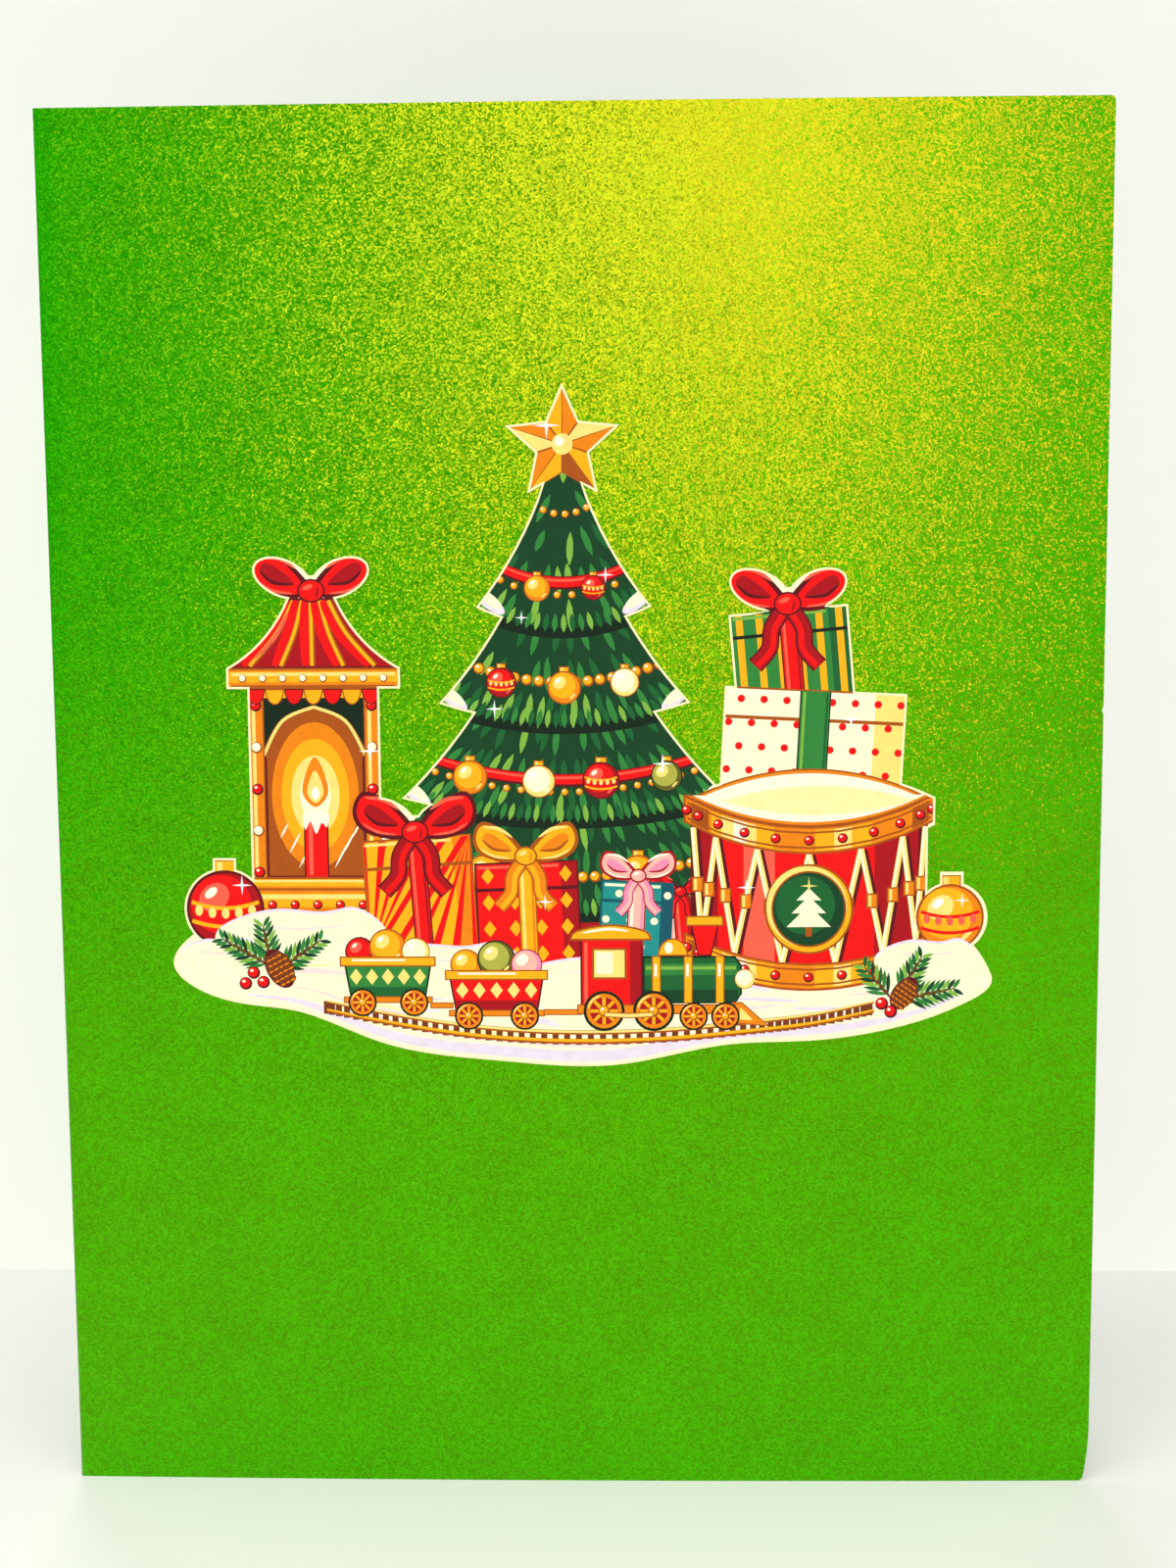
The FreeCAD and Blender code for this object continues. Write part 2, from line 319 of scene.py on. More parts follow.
# The printed picture: a decorated fir tree with a lantern, a drum, parcels and a toy train on a snow drift.
# All its places are in millimetres from the middle of the drift's foot.
label = {
    "offCentre": 0.2,
    "aboveFoot": 63.6,
    "thickness": 0.2,
    "border": 0.32,          # bare paper left round the print by the die
    "guideStep": 7.0,        # spacing of the upright mesh lines that follow the leaf's bow
    "guidePairs": 9,
    "guideFoot": -2.0,
    "guideTop": 100.0,
}
drift = {"height": 26.4, "lowerEdge": 9.0}
fir = {"x": -2.0, "sink": 1.0, "tiers": 4, "spacing": 13.7, "rise": 22.9, "tips": (29.0, 12.5),
       "necks": (10.0, 1.2), "sag": 3.0, "hollow": 1.6, "star": 8.5, "starInner": 4.0,
       "sprayRows": 5, "sprayGap": 1.5, "fringeGap": 1.15}
lantern = {"x": -38.0, "foot": 22.0, "base": (24.0, 4.0), "body": (19.0, 29.0), "eave": (25.0, 3.0),
           "roofTop": 7.0, "roofHeight": 10.0, "roofHollow": 1.5}
drum = {"x": 33.0, "foot": 15.0, "halfWidth": 17.0, "height": 24.0, "bulge": 4.2, "rimOver": 1.0,
        "rim": 4.0}

# Printing inks, named for what they colour
inks = {
    "barePaper": "#FBF1BC", "snowCream": "#FFF9CE", "lilacShade": "#EADCEB", "rosyShade": "#F8DFD8",
    "strawShade": "#FBF0A8", "nightGreen": "#08210F", "firDark": "#0C3F1E", "firGreen": "#17612C",
    "firMid": "#2F8236", "firLight": "#7DB341", "olive": "#5E5E1B", "paleOlive": "#AFAE45",
    "wine": "#5C0610", "deepRed": "#A90512", "red": "#F00505", "coral": "#FF5F48", "blush": "#FFB9A8",
    "bronze": "#A9500A", "amber": "#EE8505", "gold": "#FDB10C", "paleGold": "#FFE079",
    "ivory": "#FFF6DA", "teal": "#1D8F88", "deepTeal": "#0E5462", "pink": "#F58DB0", "brown": "#743610",
    "glintWhite": "#FFFFFF",
}
picture = []                 # printed fields in painting order, the last on top
brush = random.Random(24)


# The same outline, run round counter-clockwise
def turned(outline):
    area = sum(a[0] * b[1] - b[0] * a[1] for a, b in zip(outline, outline[1:] + outline[:1]))
    return outline if area > 0 else outline[::-1]


def paint(name, outline):
    picture.append((name, turned(outline)))


def placed(points, x, z, tilt=0.0, scale=1.0, mirror=1):
    c = math.cos(math.radians(tilt)) * scale
    s = math.sin(math.radians(tilt)) * scale
    return [(x + mirror * (px * c - pz * s), z + px * s + pz * c) for px, pz in points]


def mix(a, b, share):
    return a + (b - a) * share


def oval(x, z, across, up, tilt=0.0, start=0, end=360):
    steps = max(8, min(40, int(10 + 5 * max(across, up))))
    count = steps if end - start == 360 else steps + 1
    turns = [math.radians(mix(start, end, i / steps)) for i in range(count)]
    return placed([(across * math.cos(a), up * math.sin(a)) for a in turns], x, z, tilt)


def box(x, foot, width, height, tilt=0.0):
    half = width / 2
    return placed([(-half, 0), (half, 0), (half, height), (-half, height)], x, foot, tilt)


# A smooth line through a few points
def curve(points, steps=6, closed=False):
    count = len(points)
    line = []
    for i in range(count if closed else count - 1):
        a, b, c, d = [points[(i + k) % count] if closed else points[min(max(i + k, 0), count - 1)]
                      for k in (-1, 0, 1, 2)]
        for step in range(steps):
            t = step / steps
            bends = [2 * a[k] - 5 * b[k] + 4 * c[k] - d[k] for k in (0, 1)]
            turns = [3 * b[k] - a[k] - 3 * c[k] + d[k] for k in (0, 1)]
            line.append(tuple(0.5 * (2 * b[k] + (c[k] - a[k]) * t + bends[k] * t * t + turns[k] * t ** 3)
                              for k in (0, 1)))
    return line if closed else line + [points[-1]]


# A brush stroke along a line, with its full width in the middle and a share of it at the ends
def stroke(line, width, ends=1.0):
    left = []
    right = []
    last = len(line) - 1
    for i, (x, z) in enumerate(line):
        ahead = line[min(i + 1, last)]
        behind = line[max(i - 1, 0)]
        along = Vector((ahead[0] - behind[0], ahead[1] - behind[1])).normalized()
        half = width / 2 * mix(ends, 1.0, math.sin(math.pi * i / last) ** 0.7)
        left.append((x - along.y * half, z + along.x * half))
        right.append((x + along.y * half, z - along.x * half))
    return left + right[::-1]


def straight(x, z, angle, length, width, ends=0.1):
    a = math.radians(angle)
    line = [(x + length * t * math.cos(a), z + length * t * math.sin(a)) for t in (0, 0.25, 0.5, 0.75, 1)]
    return stroke(line, width, ends)


# Moves an outline inwards, which is to the left of a line that runs round it counter-clockwise
def inset(outline, distance):
    moved = []
    count = len(outline)
    for i in range(count):
        before, here, after = [Vector(outline[(i + k) % count]) for k in (-1, 0, 1)]
        first = (here - before).normalized()
        second = (after - here).normalized()
        across = Vector((-first.y - second.y, first.x + second.x))
        share = max(0.35, 1 + first.dot(second))
        moved.append(tuple(here + across * (distance / share)))
    return moved


# A field with a darker line round it
def edged(name, edgeName, outline, width=0.28):
    outline = turned(outline)
    paint(edgeName, outline)
    paint(name, inset(outline, width))


# Dark side, body, lit side, glint and light thrown back, for round things
tones = {
    "red": ("wine", "deepRed", "red", "coral", "ivory"),
    "gold": ("bronze", "amber", "gold", "paleGold", "glintWhite"),
    "ivory": ("bronze", "paleGold", "snowCream", "ivory", "glintWhite"),
    "olive": ("nightGreen", "olive", "paleOlive", "paleGold", "ivory"),
    "green": ("nightGreen", "firGreen", "firMid", "firLight", "ivory"),
    "teal": ("deepTeal", "deepTeal", "teal", "snowCream", "glintWhite"),
    "pink": ("deepRed", "pink", "blush", "ivory", "glintWhite"),
}


def ball(x, z, radius, tone):
    edge, dark, body, light, glint = tones[tone]
    paint(edge, oval(x, z, radius, radius))
    paint(dark, oval(x, z, radius * 0.93, radius * 0.93))
    paint(body, oval(x - radius * 0.1, z + radius * 0.12, radius * 0.78, radius * 0.76))
    paint(light, oval(x - radius * 0.28, z + radius * 0.3, radius * 0.42, radius * 0.34, 40))
    paint(glint, oval(x - radius * 0.36, z + radius * 0.42, radius * 0.19, radius * 0.11, 40))
    if radius > 1.5:
        paint(light, oval(x + radius * 0.5, z - radius * 0.52, radius * 0.24, radius * 0.07, 45))


def bead(x, z, radius, tone):
    edge, _, body, _, glint = tones[tone]
    paint(edge, oval(x, z, radius, radius))
    paint(body, oval(x - radius * 0.08, z + radius * 0.1, radius * 0.76, radius * 0.76))
    paint(glint, oval(x - radius * 0.3, z + radius * 0.34, radius * 0.28, radius * 0.22))


# A line between two points that sags in the middle
def hanging(start, end, sag, steps=16):
    return [(mix(start[0], end[0], t), mix(start[1], end[1], t) - 4 * sag * t * (1 - t))
            for t in [i / steps for i in range(steps + 1)]]


def beadRow(line, spacing, radius, tone):
    reach = 0.0
    due = 0.0
    for a, b in zip(line, line[1:]):
        step = math.dist(a, b)
        while due <= reach + step:
            t = (due - reach) / step
            bead(mix(a[0], b[0], t), mix(a[1], b[1], t), radius, tone)
            due += spacing
        reach += step


def bauble(x, z, radius, tone, band=None):
    edged("gold", "bronze", box(x, z + radius * 0.86, radius * 0.62, radius * 0.4), 0.16)
    paint("paleGold", box(x - radius * 0.12, z + radius * 0.94, radius * 0.14, radius * 0.26))
    ball(x, z, radius, tone)
    if band:
        _, _, body, light, _ = tones[band]
        for up in (-0.3, 0.18):
            left, right = [(x + radius * side, z + radius * up) for side in (-0.86, 0.86)]
            paint(body, stroke(hanging(left, right, radius * 0.16), radius * 0.1))
        for i in range(5):
            across = (i - 2) * 0.34
            sink = 0.05 - 0.16 * (1 - across * across)
            paint(light, oval(x + radius * across, z + radius * sink, radius * 0.1, radius * 0.14))


# The right half of a bow, in millimetres at full size
bowShape = {
    "tail": [(0.4, -0.6), (2.2, -3.4), (2.6, -6.4), (4.6, -8.8)],
    "loop": [(0.2, -0.3), (3.2, -1.1), (7.6, 0.2), (9.0, 3.0), (7.4, 5.9), (3.4, 4.3), (0.2, 0.9)],
    "face": [(0.9, 0.2), (3.4, -0.5), (7.2, 0.6), (8.4, 3.1), (7.1, 5.3), (3.7, 3.8)],
    "hollow": [(2.4, 0.9), (5.6, 1.3), (7.3, 2.9), (6.4, 4.0), (4.2, 2.8)],
    "crease": [(2.4, 0.9), (5.4, 1.2), (7.3, 2.8)],
    "upperLight": [(2.2, 3.2), (4.6, 4.7), (7.2, 5.0)],
    "lowerLight": [(2.6, -0.4), (5.4, 0.0), (7.6, 1.3)],
}


def bow(x, z, tone, scale=1.0, tails=True):
    edge, dark, body, light, _ = tones[tone]

    def at(points, side):
        return placed(points, x, z, 0, scale, side)

    for side in (-1, 1):
        if tails:
            tail = curve(bowShape["tail"])
            paint(edge, at(stroke(tail, 2.5), side))
            paint(dark, at(stroke(tail, 2.0), side))
            paint(body, at(stroke(placed(tail, -0.4, 0), 0.8), side))
        for name, part in ((edge, "loop"), (body, "face"), (dark, "hollow")):
            paint(name, at(curve(bowShape[part], 5, True), side))
        for name, part, width, ends in ((edge, "crease", 0.5, 0.2), (light, "upperLight", 0.6, 0.1),
                                        (light, "lowerLight", 0.4, 0.1)):
            paint(name, at(stroke(curve(bowShape[part]), width, ends), side))
    edged(body, edge, oval(x, z, 2.0 * scale, 1.7 * scale), 0.25)
    paint(light, oval(x - 0.5 * scale, z + 0.5 * scale, 0.8 * scale, 0.35 * scale, 20))
    paint(dark, straight(x + 0.7 * scale, z - 1.1 * scale, 80, 1.8 * scale, 0.4 * scale))


def sparkle(x, z, size, name="glintWhite"):
    points = []
    for i in range(8):
        reach = size if i % 2 == 0 else size * 0.16
        points.append((reach * math.sin(math.pi * i / 4), reach * math.cos(math.pi * i / 4)))
    paint(name, placed(points, x, z))


# Soft shades on the snow, drawn as long brush strokes
def paintDrift(lowerEdge):
    paint("lilacShade", stroke(placed(lowerEdge, 0, 1.5), 1.7, 0.1))
    paint("rosyShade", stroke([(x * 0.94, z + 3.1) for x, z in lowerEdge], 0.7, 0.1))
    for name, count in (("lilacShade", 26), ("rosyShade", 12), ("strawShade", 14)):
        for _ in range(count):
            x = brush.uniform(-50, 50)
            z = mix(3.2, 16.0, brush.random()) + abs(x) * 0.09
            half = brush.uniform(4, 15) / 2
            lift = brush.uniform(-0.5, 0.7)
            slope = brush.uniform(-0.4, 0.4)
            line = curve([(x - half, z), (x, z + lift), (x + half, z + slope)], 5)
            paint(name, stroke(line, brush.uniform(0.3, 0.9), 0.05))


# Foot, and half widths at the foot and the top, of one of the fir's tiers
def tierShape(index):
    share = index / (fir["tiers"] - 1)
    foot = drift["height"] - fir["sink"] + index * fir["spacing"]
    return foot, mix(*fir["tips"], share), mix(*fir["necks"], share)


def tierHalf(tip, neck, up):
    return mix(tip, neck, up) - fir["hollow"] * 4 * up * (1 - up)


def tierOutline(foot, tip, neck):
    steps = 12
    right = [(tierHalf(tip, neck, i / steps), foot + fir["rise"] * i / steps) for i in range(steps + 1)]
    left = [(-x, z) for x, z in right[::-1]]
    low = hanging((-tip, foot), (tip, foot), fir["sag"])[1:-1]
    return [(fir["x"] + x, z) for x, z in right + left + low]


def paintTier(index):
    foot, tip, neck = tierShape(index)
    middle = fir["x"]
    paint("nightGreen", placed(tierOutline(foot, tip, neck), 0, -1.5))
    paint("firDark", tierOutline(foot, tip, neck))
    for row in range(fir["sprayRows"]):
        up = 0.02 + 0.19 * row
        half = tierHalf(tip, neck, up)
        count = int(2 * half / fir["sprayGap"])
        for j in range(count):
            across = (j + 0.5) / count * 2 - 1
            x = middle + half * across * 0.97 + brush.uniform(-0.3, 0.3)
            hang = fir["sag"] * (1 - across * across) * (1 - up)
            z = foot + 3.6 + fir["rise"] * up - hang + brush.uniform(-0.5, 0.5)
            lit = "firLight" if across < 0.3 else "firMid"
            name = brush.choice(("firGreen", "firGreen", "firMid", "firDark", lit))
            lean = -90 + 52 * across + brush.uniform(-9, 9)
            paint(name, straight(x, z, lean, brush.uniform(3.2, 4.8), 1.0))
    # Lighter fringe along the tier's foot
    count = int(2 * tip / fir["fringeGap"])
    for j in range(count):
        across = (j + 0.5) / count * 2 - 1
        x = middle + tip * across * 0.96
        z = foot + 2.0 - fir["sag"] * (1 - across * across)
        name = ("firMid", "firLight", "firGreen")[j % 3]
        paint(name, straight(x, z, -90 + 50 * across, 2.6, 0.8))


# Bead chains and garlands in turn, and snow on the tips
def paintTreeTrim(index):
    foot, tip, neck = tierShape(index)
    middle = fir["x"]
    half = tierHalf(tip, neck, 0.2) * 0.97
    height = foot + fir["rise"] * 0.2 + 1.0
    swag = hanging((middle - half, height), (middle + half, height), 3.4 - 0.4 * index, 24)
    if index % 2 == 0:
        beadRow(swag, 1.75, 0.82, "gold")
    else:
        paint("wine", stroke(swag, 1.9, 0.8))
        paint("red", stroke(placed(swag, 0, 0.1), 1.4, 0.8))
        paint("coral", stroke(placed(swag, 0, 0.35), 0.35, 0.3))
        beadRow(placed(swag, 0, -1.7), 2.1, 0.55, "gold")
    if index > 0:
        half = tierHalf(tip, neck, 0.58) * 0.95
        height = foot + fir["rise"] * 0.58 + 1.2
        chain = hanging((middle - half, height), (middle + half, height), 2.6 - 0.4 * index, 20)
        beadRow(chain, 1.6, 0.55, "gold")
    for side in (-1, 1):
        x = middle + side * (tip - 2.0)
        paint("lilacShade", oval(x, foot + 0.7, 2.6, 0.95, side * 38))
        paint("snowCream", oval(x + side * 0.1, foot + 1.2, 2.3, 0.75, side * 38))


# Share of the tier's half width, tier, radius and tone
treeBaubles = [
    (-0.74, 0, 2.5, "red"), (-0.4, 0, 2.8, "gold"), (0.36, 0, 2.7, "gold"), (0.74, 0, 2.4, "red"),
    (-0.58, 1, 2.5, "gold"), (-0.16, 1, 2.4, "ivory"), (0.22, 1, 2.7, "red"), (0.62, 1, 2.3, "olive"),
    (-0.5, 2, 2.2, "red"), (0.0, 2, 2.4, "gold"), (0.48, 2, 2.1, "ivory"),
    (-0.3, 3, 1.9, "gold"), (0.34, 3, 1.8, "red"),
]
starFacets = ("gold", "amber", "paleGold", "amber", "gold", "bronze", "gold", "amber", "paleGold", "amber")


def paintStar():
    middle = fir["x"]
    foot, _, _ = tierShape(fir["tiers"] - 1)
    top = foot + fir["rise"]
    tips = []
    for i in range(10):
        reach = fir["starInner"] if i % 2 else fir["star"]
        turn = math.pi * i / 5
        tips.append((middle - reach * math.sin(turn), top + reach * math.cos(turn)))
    paint("bronze", tips)
    for i, name in enumerate(starFacets):
        paint(name, inset([(middle, top), tips[i], tips[(i + 1) % 10]], 0.16))
    paint("paleGold", oval(middle, top, 1.5, 1.5))
    paint("ivory", oval(middle - 0.4, top + 0.4, 0.7, 0.7))
    sparkle(middle - 2.2, top + 2.6, 1.9)


def paintTree():
    middle = fir["x"]
    trunk = [(-5.5, -11), (5.5, -11), (7, 0), (-7, 0)]
    edged("deepRed", "wine", placed(trunk, middle, drift["height"] - fir["sink"]))
    for index in range(fir["tiers"]):
        paintTier(index)
        paintTreeTrim(index)
        foot, tip, _ = tierShape(index)
        for share, tier, radius, tone in treeBaubles:
            if tier == index:
                band = "gold" if tone == "red" else None
                bauble(middle + share * tip, foot + 2.2 + abs(share) * 1.5, radius, tone, band)
    paintStar()


# Turned metal: dark rims, a lit band near the top and a soft lower glow
def goldBar(x, foot, width, height):
    edged("amber", "bronze", box(x, foot, width, height))
    paint("gold", box(x, foot + height * 0.32, width * 0.97, height * 0.5))
    paint("paleGold", box(x, foot + height * 0.62, width * 0.94, height * 0.16))
    paint("bronze", box(x, foot + height * 0.1, width * 0.94, height * 0.08))


# Candle in the lantern's window, with its flame
def paintCandle(x, foot):
    edged("red", "wine", box(x, foot, 3.6, 9.6), 0.22)
    paint("coral", box(x - 0.8, foot + 0.5, 0.6, 8.4))
    wax = [(-1.7, 9.7), (-1.6, 7.1), (-0.8, 8.3), (0, 6.5), (0.8, 8.1), (1.6, 7.5), (1.7, 9.7)]
    paint("ivory", curve(placed(wax, x, foot), 4, True))
    for name, top, half, belly, wick, steps in (("amber", 17.7, 1.9, 12.9, 10.4, 7),
                                                ("paleGold", 15.7, 1.2, 12.7, 11.0, 6)):
        flame = [(0, top), (-half, belly), (0, wick), (half, belly)]
        paint(name, curve(placed(flame, x, foot), steps, True))
    paint("glintWhite", oval(x, foot + 12.4, 0.5, 0.9))


# Roof with raised ribs, a scalloped fringe below the eave and a bow on top
def paintLanternRoof(x, eave):
    eaveWidth, eaveHeight = lantern["eave"]
    roof = eave + eaveHeight
    top = roof + lantern["roofHeight"]
    half = eaveWidth / 2
    tops = lantern["roofTop"] / 2
    waist = (half + tops) / 2
    hollow = waist - lantern["roofHollow"]
    side = curve([(half, roof), (hollow, roof + lantern["roofHeight"] / 2), (tops, top)], 6)
    edged("deepRed", "wine", placed(side, x, 0) + placed(side, x, 0, 0, 1, -1)[::-1])
    for rib in (-0.72, -0.36, 0.0, 0.36, 0.72):
        line = curve([(half * rib, 0.3), (waist * rib * 0.86, 5), (tops * rib, top - roof - 0.4)], 5)
        line = placed(line, x, roof)
        paint("red", stroke(placed(line, -1.0, 0), 1.5, 0.5))
        paint("bronze", stroke(line, 0.85))
        paint("gold", stroke(placed(line, -0.1, 0), 0.5))
    shine = curve([(-8.4, 1.2), (-5.2, 4.6), (-3.4, 8)], 5)
    paint("coral", stroke(placed(shine, x, roof), 0.55, 0.1))
    for i in range(9):
        name, edge = ("red", "wine") if i % 2 else ("gold", "bronze")
        edged(name, edge, oval(x + (i - 4) * half * 2 / 9, eave, half / 9, 2.3, 0, 180, 360), 0.18)
    goldBar(x, eave, eaveWidth, eaveHeight)
    for i in range(8):
        bead(x + (i - 3.5) * 2.9, eave + eaveHeight / 2, 0.6, "ivory")
    bow(x, top + 1.0, "red", 1.0, False)


def paintLantern():
    x = lantern["x"]
    foot = lantern["foot"]
    baseWidth, baseHeight = lantern["base"]
    width, height = lantern["body"]
    low = foot + baseHeight
    eave = low + height
    edged("gold", "bronze", box(x, low, width, height))
    window = width / 2 - 2.2
    paint("wine", box(x, low + 1.5, 2 * window, height - 2.8))
    paint("bronze", box(x, low + 1.9, 2 * window - 0.8, height - 3.4))
    for name, across, up in (("amber", 6.3, 10.6), ("gold", 4.9, 8.2), ("paleGold", 3.5, 5.8),
                             ("snowCream", 2.2, 3.9)):
        paint(name, oval(x, low + 13.6, across, up))
    for side in (-1, 1):
        arch = placed(curve([(window, -9.5), (window * 0.62, -4.6), (0, -2.6)], 6), x, eave, 0, 1, side)
        paint("nightGreen", arch + [(x, eave - 1.4), (x + side * window, eave - 1.4)])
        paint("bronze", stroke(placed(arch, 0, -0.2), 0.9))
        paint("paleGold", stroke(arch, 0.45))
        for i in range(3):
            paint("ivory", straight(x + side * (2.6 + 1.3 * i), low + 3 + 2.2 * i, 62, 4.5 - i, 0.3))
        post = x + side * (width / 2 - 1.15)
        edged("amber", "bronze", box(post, low, 2.3, height), 0.22)
        paint("paleGold", box(post - 0.35, low + 0.6, 0.5, height - 1.2))
        for i in range(5):
            bead(post, low + 2.4 + i * (height - 4.8) / 4, 0.85, "ivory" if i % 2 else "red")
    paintCandle(x, low + 1.5)
    goldBar(x, low - 0.3, width + 1.2, 2.0)
    goldBar(x, foot, baseWidth, baseHeight)
    for i in range(7):
        bead(x + (i - 3) * 3.3, foot + 1.6, 0.7, "red")
    paintLanternRoof(x, eave)


# How far the drum's round front bulges downwards on the picture, at x from its middle
def drumSag(x):
    half = drum["halfWidth"]
    radius = (half * half + drum["bulge"] ** 2) / (2 * drum["bulge"])
    reach = min(abs(x), radius)
    return math.sqrt(radius * radius - reach * reach) - radius + drum["bulge"]


def drumPatch(left, right, foot, top):
    xs = [mix(left, right, i / 8) for i in range(9)]
    low = [(drum["x"] + x, foot - drumSag(x)) for x in xs]
    high = [(drum["x"] + x, top - drumSag(x)) for x in xs]
    return low + high[::-1]


def paintDrumRim(foot, height):
    half = drum["halfWidth"] + drum["rimOver"]
    edged("amber", "bronze", drumPatch(-half, half, foot, foot + height), 0.3)
    for left, right, name in ((-0.94, -0.8, "bronze"), (-0.78, -0.28, "gold"), (-0.7, -0.42, "paleGold"),
                              (-0.6, -0.5, "ivory"), (0.05, 0.5, "gold"), (0.2, 0.34, "paleGold"),
                              (0.82, 0.95, "bronze")):
        paint(name, drumPatch(half * left, half * right, foot + 0.5, foot + height - 0.5))
    paint("bronze", drumPatch(-half * 0.97, half * 0.97, foot + 0.75, foot + 1.05))
    paint("bronze", drumPatch(-half * 0.97, half * 0.97, foot + height - 1.05, foot + height - 0.75))
    for i in range(11):
        x = half * math.sin(math.radians((i - 5) * 15.5))
        bead(drum["x"] + x, foot + height / 2 - drumSag(x), 0.75, "red")


def paintDrum():
    middle = drum["x"]
    foot = drum["foot"]
    top = foot + drum["height"]
    half = drum["halfWidth"]
    paint("wine", drumPatch(-half, half, foot, top))
    strips = ["wine", "deepRed", "red", "coral", "red", "red", "red", "deepRed", "deepRed", "wine"]
    for i, name in enumerate(strips):
        left, right = [half * math.sin(math.radians(mix(-84, 84, k / len(strips)))) for k in (i, i + 1)]
        paint(name, drumPatch(left, right, foot, top))
    low = foot + drum["rim"]
    high = top - drum["rim"]
    turns = [half * math.sin(math.radians(-78 + 156 * i / 12)) for i in range(13)]
    ends = [(middle + x, (low if i % 2 else high) - drumSag(x)) for i, x in enumerate(turns)]
    centres = [((a[0] + b[0]) / 2, (a[1] + b[1]) / 2) for a, b in zip(ends, ends[1:])]
    # Zigzag cords, each with a leather slide at its middle
    for a, centre, b in zip(ends, centres, ends[1:]):
        line = [a, centre, b]
        paint("wine", stroke(placed(line, 0.35, -0.15), 1.15))
        paint("paleGold", stroke(line, 0.8))
        paint("ivory", stroke(placed(line, -0.15, 0), 0.3))
    for x, z in centres:
        edged("amber", "bronze", box(x, z - 1.1, 1.7, 2.2), 0.2)
        paint("paleGold", box(x - 0.3, z - 0.8, 0.4, 1.6))
    # Round shield on the drum's side, with a small tree
    shield = (low + high) / 2 - drumSag(0)
    edged("gold", "bronze", oval(middle, shield, 6.4, 6.6), 0.3)
    paint("paleGold", oval(middle - 0.3, shield + 0.4, 5.8, 5.9))
    edged("firDark", "bronze", oval(middle, shield, 5.4, 5.6), 0.25)
    paint("firGreen", oval(middle - 0.5, shield + 0.6, 4.3, 4.3))
    for size, up in ((3.2, -2.6), (2.5, -0.6), (1.8, 1.3)):
        paint("snowCream", placed([(-size, up), (size, up), (0, up + size)], middle, shield))
    paint("bronze", box(middle, shield - 4.0, 0.9, 1.4))
    sparkle(middle, shield + 3.4, 1.3, "paleGold")
    paintDrumRim(foot, drum["rim"])
    paintDrumRim(high, drum["rim"])
    # Skin of the drum seen over its rim
    rimHalf = half + drum["rimOver"]
    xs = [rimHalf * (i / 10 - 1) for i in range(21)]
    skin = [(middle + x, top - drumSag(x)) for x in xs]
    skin += [(middle + x, top + drumSag(x)) for x in xs[::-1][1:-1]]
    edged("amber", "bronze", skin, 0.25)
    paint("ivory", [(mix(middle, x, 0.93), mix(top, z, 0.84)) for x, z in skin])
    paint("strawShade", [(mix(middle, x, 0.8) + 1.2, mix(top, z, 0.5) - 0.4) for x, z in skin])


# The ink that marks each tone of wrapping paper
wrapMarks = {"red": "gold", "gold": "red", "ivory": "red", "green": "gold", "teal": "snowCream",
             "pink": "ivory"}


# The pattern printed on a parcel's paper
def paintWrap(name, pattern, half, height, at, panel):
    width = 2 * half
    if pattern == "dots":
        rows = max(2, int(height / 3))
        columns = max(3, int(width / 3))
        for r in range(rows):
            for c in range(columns):
                px = -half + (c + 0.5 + 0.25 * (-1) ** r) * width / columns
                if abs(px) < half - 0.8:
                    paint(name, at(oval(px, (r + 0.5) * height / rows, 0.55, 0.55)))
    if pattern == "stripes":
        count = max(3, int(width / 2.6))
        for c in range(count):
            px = -half + (c + 0.5) * width / count
            paint(name, panel(px - 0.5, px + 0.5, 0.3, height - 0.3))
    if pattern == "diamonds":
        rows = max(2, int(height / 3.2))
        columns = max(3, int(width / 3.2))
        for r in range(rows):
            for c in range(columns):
                px = -half + (c + 0.5) * width / columns
                pz = (r + 0.5) * height / rows
                paint(name, at([(px - 0.9, pz), (px, pz - 1.2), (px + 0.9, pz), (px, pz + 1.2)]))
    if pattern == "slants":
        for c in range(-int(height / 3), int(width / 3) + 1):
            low = -half + c * 3.0
            high = low + height * 0.7
            corners = ((low, 0.3), (low + 1.2, 0.3), (high + 1.2, height - 0.3), (high, height - 0.3))
            points = [(min(max(px, 0.3 - half), half - 0.3), pz) for px, pz in corners]
            if points[1][0] - points[0][0] > 0.1 or points[2][0] - points[3][0] > 0.1:
                paint(name, at(points))


# A wrapped parcel that stands on its foot: shaded side, pattern, lid, ribbon and bow
def parcel(x, foot, width, height, tilt, tone, ribbon, pattern, knot=1.0):
    half = width / 2

    def at(points):
        return placed(points, x, foot, tilt)

    def panel(left, right, low, high):
        return at([(left, low), (right, low), (right, high), (left, high)])

    edge, dark, body, light, _ = tones[tone]
    edged(body, edge, panel(-half, half, 0, height))
    paint(dark, panel(half * 0.66, half - 0.25, 0.2, height - 0.2))
    paintWrap(wrapMarks[tone], pattern, half, height, at, panel)
    lid = height * 0.76
    paint(edge, panel(-half + 0.2, half - 0.2, lid - 0.5, lid))
    paint(light, panel(-half + 0.5, half * 0.62, height - 0.9, height - 0.5))
    edge, dark, body, light, _ = tones[ribbon]
    wide = max(1.3, width * 0.085)
    paint(edge, panel(-wide, wide, 0.2, height - 0.2))
    paint(body, panel(-wide + 0.2, wide - 0.2, 0.2, height - 0.2))
    paint(light, panel(-wide + 0.45, -wide + 0.85, 0.4, height - 0.4))
    paint(dark, panel(wide - 0.7, wide - 0.35, 0.4, height - 0.4))
    if knot:
        ((knotX, knotZ),) = at([(0, height + 0.8)])
        bow(knotX, knotZ, ribbon, knot)


